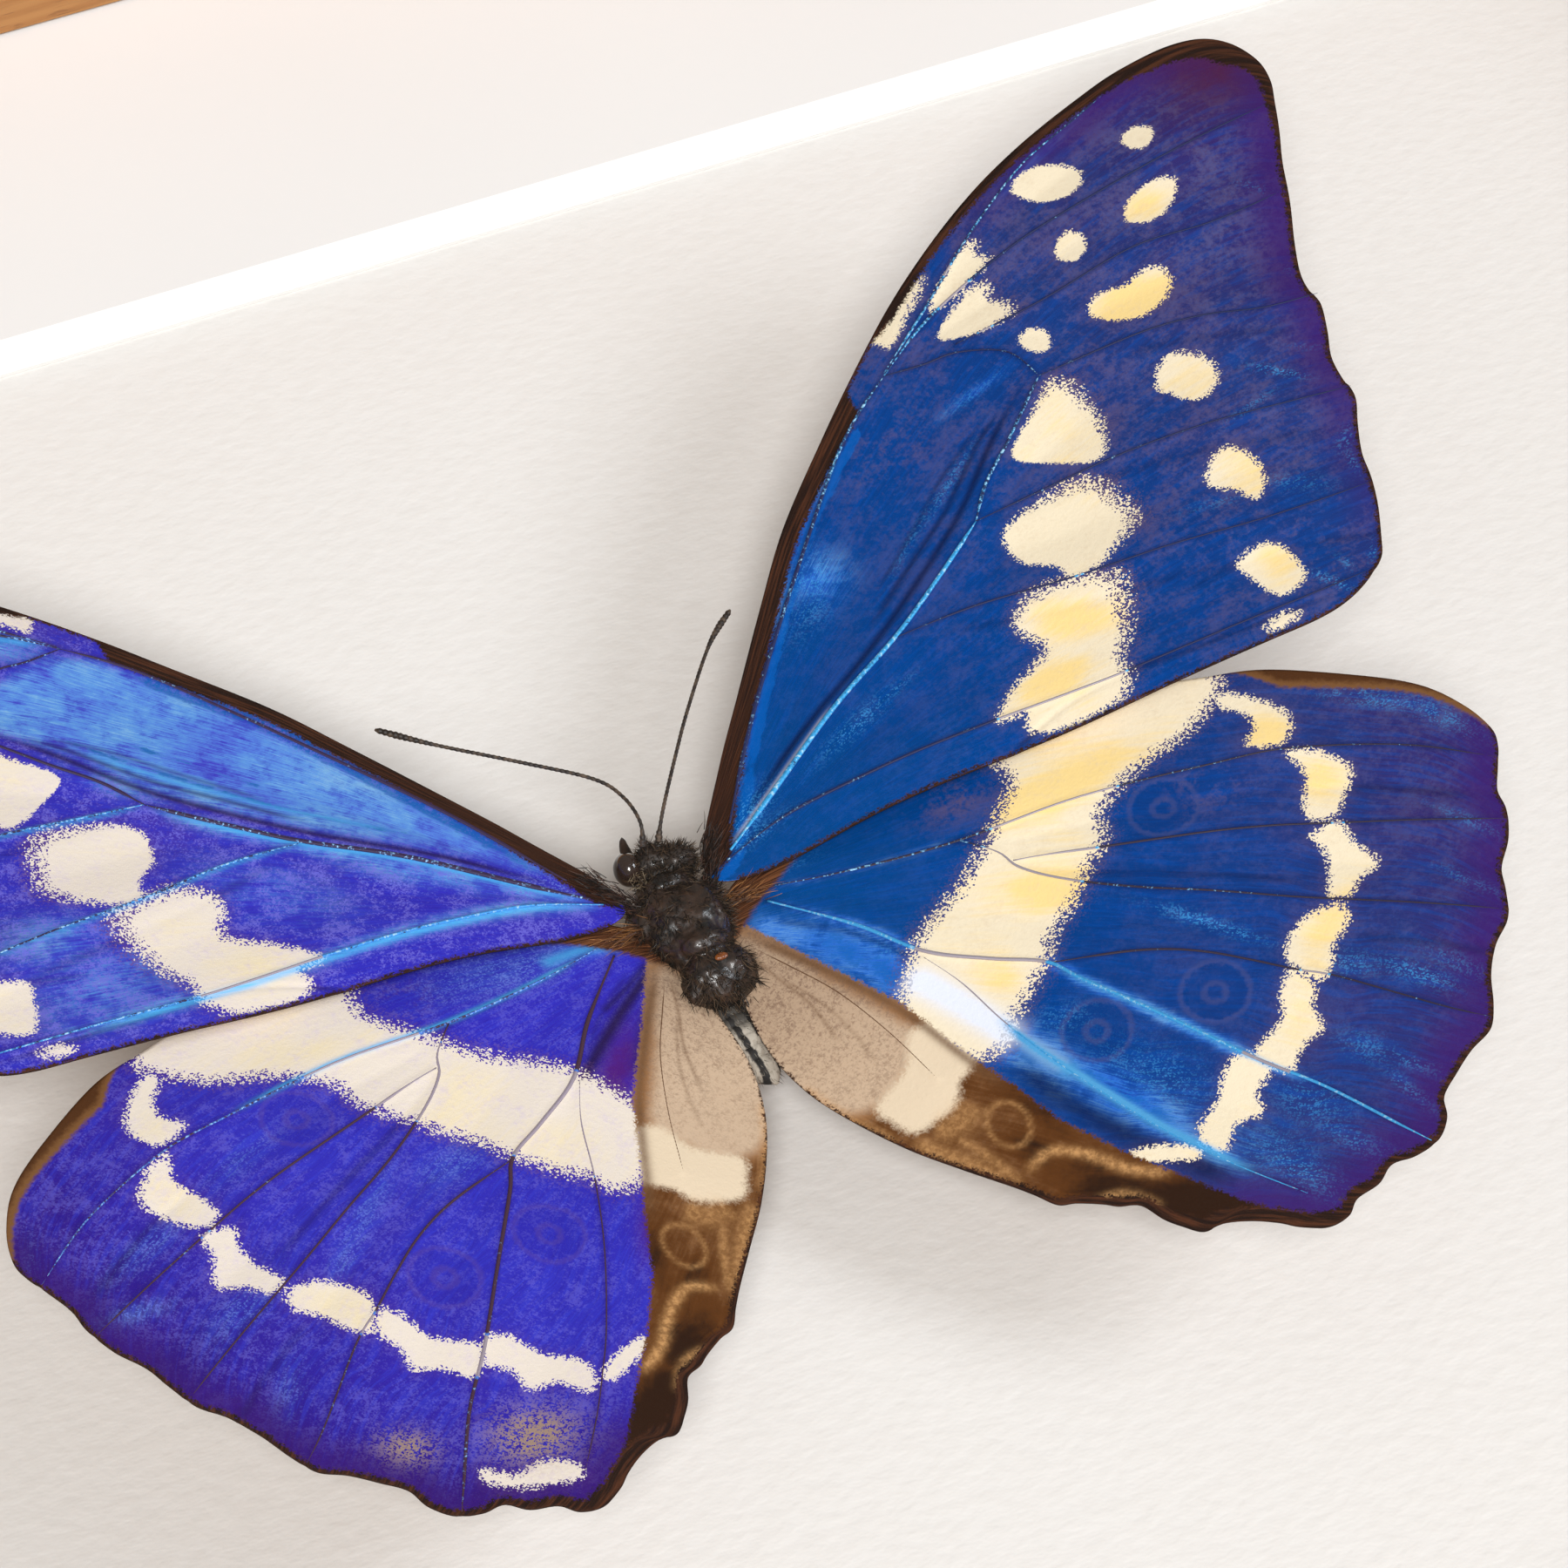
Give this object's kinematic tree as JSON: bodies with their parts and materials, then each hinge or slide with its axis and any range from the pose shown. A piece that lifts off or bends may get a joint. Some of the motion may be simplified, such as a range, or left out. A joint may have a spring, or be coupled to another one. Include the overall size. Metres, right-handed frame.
{
  "type": "framed butterfly specimen",
  "caption": "Blue butterfly specimen, wings spread, pinned above a textured board behind a bevelled window mat and glass in a deep oak shadow-box frame.",
  "frame": {"origin": "middle of the frame's flat back, at its lowest point with the glass facing up", "axes": "+Z out through the glass, +Y to the top of the picture, +X to the picture's right along the long side"},
  "size_m": [0.3004, 0.2234, 0.0437],
  "materials": {
    "oak_rail": "satin, clear oiled light oak",
    "oak_spacer": "satin, clear oiled light oak",
    "glass_pane": "clear low-reflection picture glass",
    "window_mat": "matt cream card with a white cut bevel",
    "mount_board": "matt off-white watercolour-textured card",
    "backing_board": "brown hardboard",
    "flex_point": "zinc-plated, dull",
    "hanger": "zinc-plated",
    "hanger_screw": "zinc-plated",
    "mounting_pin": "bright steel wire",
    "thorax": "dark brown hairs over glossy plates",
    "head": "dark brown hairs, glossy dark eyes",
    "abdomen": "grey-cream hairs with black stripes",
    "antennae": "satin near-black chitin",
    "legs": "satin dark brown chitin",
    "forewing_right": "metallic blue scales with cream marks and brown-black edges",
    "hindwing_right": "metallic blue scales with cream bands and brown edges",
    "forewing_left": "metallic violet-blue scales with cream marks",
    "hindwing_left": "metallic violet-blue scales with cream bands"
  },
  "bodies": {
    "root": {"abdomen": "abdomen", "antenna_left": "antennae", "antenna_right": "antennae", "backing_board": "backing_board", "flex_point_bottom_1": "flex_point", "flex_point_bottom_2": "flex_point", "flex_point_bottom_3": "flex_point", "flex_point_left_1": "flex_point", "flex_point_left_2": "flex_point", "flex_point_right_1": "flex_point", "flex_point_right_2": "flex_point", "flex_point_top_1": "flex_point", "flex_point_top_2": "flex_point", "flex_point_top_3": "flex_point", "forewing_left": "forewing_left", "forewing_right": "forewing_right", "glass_pane": "glass_pane", "hanger_screw_left": "hanger_screw", "hanger_screw_right": "hanger_screw", "head": "head", "hind_leg_left": "legs", "hind_leg_right": "legs", "hindwing_left": "hindwing_left", "hindwing_right": "hindwing_right", "middle_leg_left": "legs", "middle_leg_right": "legs", "mount_board": "mount_board", "mounting_pin": "mounting_pin", "rail_bottom": "oak_rail", "rail_left": "oak_rail", "rail_right": "oak_rail", "rail_top": "oak_rail", "sawtooth_hanger": "hanger", "spacer_bottom": "oak_spacer", "spacer_left": "oak_spacer", "spacer_right": "oak_spacer", "spacer_top": "oak_spacer", "thorax": "thorax", "window_mat": "window_mat"}
  },
  "joints": []
}
